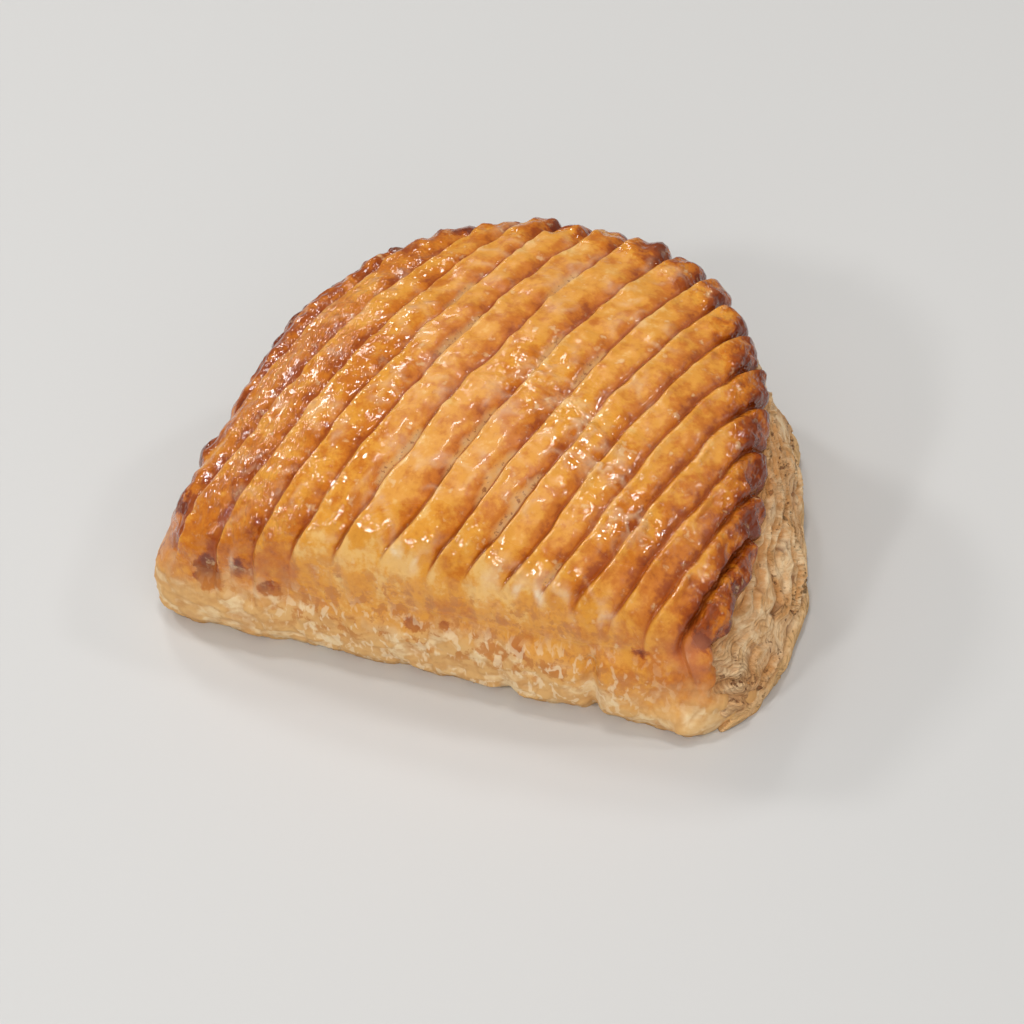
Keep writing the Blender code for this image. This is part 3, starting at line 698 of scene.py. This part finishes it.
material, tree, shader = new_material("layered_dough")
place = add(tree, "ShaderNodeTexCoord").outputs["Object"]
leafed = add(tree, "ShaderNodeVectorMath", place, (1.0, 1.0, 4.0), operation="MULTIPLY").outputs[0]
broad, patchy = grain_of(tree, place, 0.012, 2.0), grain_of(tree, place, 0.0042, 3.0, 0.6)
mottle, thin_leaves = grain_of(tree, place, 0.0018, 2.0, 0.6), grain_of(tree, leafed, 0.0030, 3.0, 0.6, 0.6)
leafy, slit_shade, crevice_shade, rolled_up = (mask_of(tree, label) for label in ("leafy", "slit_shade", "crevice_shade", "rolled_up"))
below_rim, lip_mask, lip_groove_shade = (mask_of(tree, label) for label in ("below_rim", "lip", "lip_groove_shade"))
wavy_way = calc(tree, "MULTIPLY_ADD", mottle, 0.16, mask_of(tree, "leaf_way"))
in_leaf = calc(tree, "FRACT", wavy_way)
# The gap under each leaf is painted dark as its shade; the leaf's own edge is browned.
leaf_gap_shade = calc(tree, "MULTIPLY", span(tree, in_leaf, 0.84, 0.95), leafy)
leaf_edge = calc(tree, "MULTIPLY", span(tree, in_leaf, 0.24, 0.08), leafy)
thin_way = calc(tree, "FRACT", calc(tree, "MULTIPLY_ADD", broad, 2.6, calc(tree, "MULTIPLY", wavy_way, 3.0)))
thin_line = calc(tree, "MULTIPLY", span(tree, thin_way, 0.70, 0.92), span(tree, patchy, 0.40, 0.60))
colour = blend(tree, span(tree, patchy, 0.35, 0.65), LAYER_CREAM, LAYER_TAN)
colour = blend(tree, calc(tree, "MULTIPLY", span(tree, broad, 0.45, 0.70), 0.6), colour, LAYER_BROWN)
colour = blend(tree, calc(tree, "MULTIPLY", span(tree, thin_leaves, 0.52, 0.66), 0.45), colour, LAYER_BROWN)
colour = blend(tree, calc(tree, "MULTIPLY", thin_line, 0.45), colour, CRISP_EDGE)
ragged = span(tree, patchy, 0.35, 0.55)
colour = blend(tree, calc(tree, "MULTIPLY", leaf_edge, calc(tree, "MULTIPLY", ragged, 0.75)), colour, CRISP_EDGE)
# Painted shade: dark in the gaps under the leaves, browner in the low crevices, dark in the slits.
colour = blend(tree, calc(tree, "MULTIPLY", leaf_gap_shade, span(tree, patchy, 0.32, 0.55, 0.25, 0.95)), colour, GAP_SHADE)
colour = blend(tree, calc(tree, "MULTIPLY", crevice_shade, 0.6), colour, CRISP_EDGE)
colour = blend(tree, calc(tree, "MULTIPLY", slit_shade, 0.85), colour, GAP_SHADE)

# The rolled-up layers at the front corner lie round each other like the lines of a fingerprint.
from_middle = add(tree, "ShaderNodeVectorMath", place, tuple(v / 1000.0 for v in ROLLED_UP[:3]), operation="SUBTRACT")
rings = add(tree, "ShaderNodeTexWave", from_middle.outputs[0], wave_type="RINGS", rings_direction="SPHERICAL")
for socket, value in (("Scale", 360.0), ("Distortion", 9.0), ("Detail", 2.0), ("Detail Scale", 0.5)):
    rings.inputs[socket].default_value = value
ring_line = span(tree, rings.outputs["Factor"] if "Factor" in rings.outputs else rings.outputs[1], 0.45, 0.15)
colour = blend(tree, calc(tree, "MULTIPLY", rolled_up, 0.45), colour, (0.60, 0.38, 0.19))
colour = blend(tree, calc(tree, "MULTIPLY", calc(tree, "MULTIPLY", rolled_up, ring_line), 0.36), colour, (0.42, 0.18, 0.07))
# Small pits, sunk by the bump and painted dark as their shade.
pits = calc(tree, "MULTIPLY", span(tree, mottle, 0.60, 0.66), calc(tree, "MAXIMUM", span(tree, broad, 0.5, 0.6), rolled_up))
colour = blend(tree, calc(tree, "MULTIPLY", pits, 0.8), colour, GAP_SHADE)
colour = blend(tree, calc(tree, "MULTIPLY", lip_mask, span(tree, patchy, 0.35, 0.65, 0.35, 0.95)), colour, LIP_GOLD)
# Painted shade in the groove along the top of the lip.
colour = blend(tree, calc(tree, "MULTIPLY", lip_groove_shade, span(tree, patchy, 0.30, 0.50, 0.3, 0.9)), colour, GAP_SHADE)
colour = blend(tree, calc(tree, "MULTIPLY", below_rim, span(tree, broad, 0.3, 0.7, 0.3, 0.9)), colour, (0.50, 0.20, 0.05))
tree.links.new(colour, shader.inputs["Base Color"])
shader.inputs["Roughness"].default_value = 0.62
shader.inputs["Specular IOR Level"].default_value = 0.3
bump = add(tree, "ShaderNodeBump")
bump.inputs["Strength"].default_value = 0.9
bump.inputs["Distance"].default_value = 0.0007
fine_relief = calc(tree, "MULTIPLY_ADD", mottle, 0.6, thin_leaves)
fine_relief = calc(tree, "MULTIPLY_ADD", thin_line, -0.5, fine_relief)
fine_relief = calc(tree, "MULTIPLY_ADD", calc(tree, "MULTIPLY", rolled_up, ring_line), -0.4, fine_relief)
tree.links.new(calc(tree, "MULTIPLY_ADD", pits, -0.8, fine_relief), bump.inputs["Height"])
tree.links.new(bump.outputs[0], shader.inputs["Normal"])
cut_edge.data.materials.append(material)
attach(cut_edge, "root")

# ---------------------------------------------------------------------------------------------------
# Floor, light and camera. A pale table, small lamps from above, the left, behind, the front and the right,
# two broad lamps that give no reflections, and a view from the front right, above.
# ---------------------------------------------------------------------------------------------------
FLOOR_HALF_SIZE = 3.0
floor_mesh = bpy.data.meshes.new("floor")
s = FLOOR_HALF_SIZE
floor_mesh.from_pydata([(-s, -s, 0), (s, -s, 0), (s, s, 0), (-s, s, 0)], [], [(0, 1, 2, 3)])
floor = bpy.data.objects.new("floor", floor_mesh)
bpy.context.scene.collection.objects.link(floor)
floor_material, floor_tree, floor_shader = new_material("pale_table")
floor_shader.inputs["Base Color"].default_value = (0.60, 0.595, 0.585, 1.0)
floor_shader.inputs["Roughness"].default_value = 0.5
floor_mesh.materials.append(floor_material)

world = bpy.data.worlds.new("studio")
bpy.context.scene.world = world
world.use_nodes = True
world.node_tree.nodes["Background"].inputs["Color"].default_value = (1.0, 0.965, 0.91, 1.0)
world.node_tree.nodes["Background"].inputs["Strength"].default_value = 0.26


def soft_light(name, size, power, offset, aim):
    """A square lamp aimed at a point."""
    lamp = bpy.data.lights.new(name, "AREA")
    lamp.size, lamp.energy = size, power
    stand = bpy.data.objects.new(name, lamp)
    stand.location = Vector(aim) + Vector(offset)
    stand.rotation_euler = (-Vector(offset)).to_track_quat("-Z", "Y").to_euler()
    bpy.context.scene.collection.objects.link(stand)
    return stand


soft_light("key_light", 0.15, 2.8, (-0.01, 0.10, 1.2), (0.0, 0.0, 0.02))
soft_light("back_light", 0.14, 1.1, (-0.45, 0.62, 0.80), (0.0, 0.0, 0.02))
soft_light("left_light", 0.14, 2.8, (-0.86, 0.30, 0.68), (0.0, 0.0, 0.02))
soft_light("front_light", 0.14, 3.1, (-0.40, -0.84, 0.76), (0.0, 0.0, 0.02))
soft_light("right_light", 0.09, 1.3, (0.72, 0.34, 0.74), (0.0, 0.0, 0.02))

fill = soft_light("fill_light", 2.2, 21.0, (0.9, -1.3, 1.1), (0.0, 0.0, 0.02))
fill.visible_glossy = False
overhead = soft_light("overhead_light", 1.4, 2.6, (-0.9, 0.1, 1.2), (0.0, 0.0, 0.02))
overhead.visible_glossy = False

CAMERA_TARGET = Vector((0.0050, -0.0193, 0.020))
CAMERA_AZIMUTH, CAMERA_ELEVATION, CAMERA_ROLL = (math.radians(a) for a in (28.380, 41.423, 9.479))
CAMERA_DISTANCE = 0.84046
back = Vector((
    math.sin(CAMERA_AZIMUTH) * math.cos(CAMERA_ELEVATION),
    -math.cos(CAMERA_AZIMUTH) * math.cos(CAMERA_ELEVATION),
    math.sin(CAMERA_ELEVATION),
))
right = Vector((math.cos(CAMERA_AZIMUTH), math.sin(CAMERA_AZIMUTH), 0.0))
up = back.cross(right)
turn = Matrix((
    right * math.cos(CAMERA_ROLL) - up * math.sin(CAMERA_ROLL),
    right * math.sin(CAMERA_ROLL) + up * math.cos(CAMERA_ROLL),
    back,
)).transposed().to_4x4()
camera_data = bpy.data.cameras.new("camera")
camera_data.sensor_width = 36.0
camera_data.lens = 144.14
camera = bpy.data.objects.new("camera", camera_data)
camera.matrix_world = Matrix.Translation(CAMERA_TARGET + back * CAMERA_DISTANCE) @ turn
bpy.context.scene.collection.objects.link(camera)
bpy.context.scene.camera = camera
bpy.context.scene.view_settings.view_transform = "Standard"
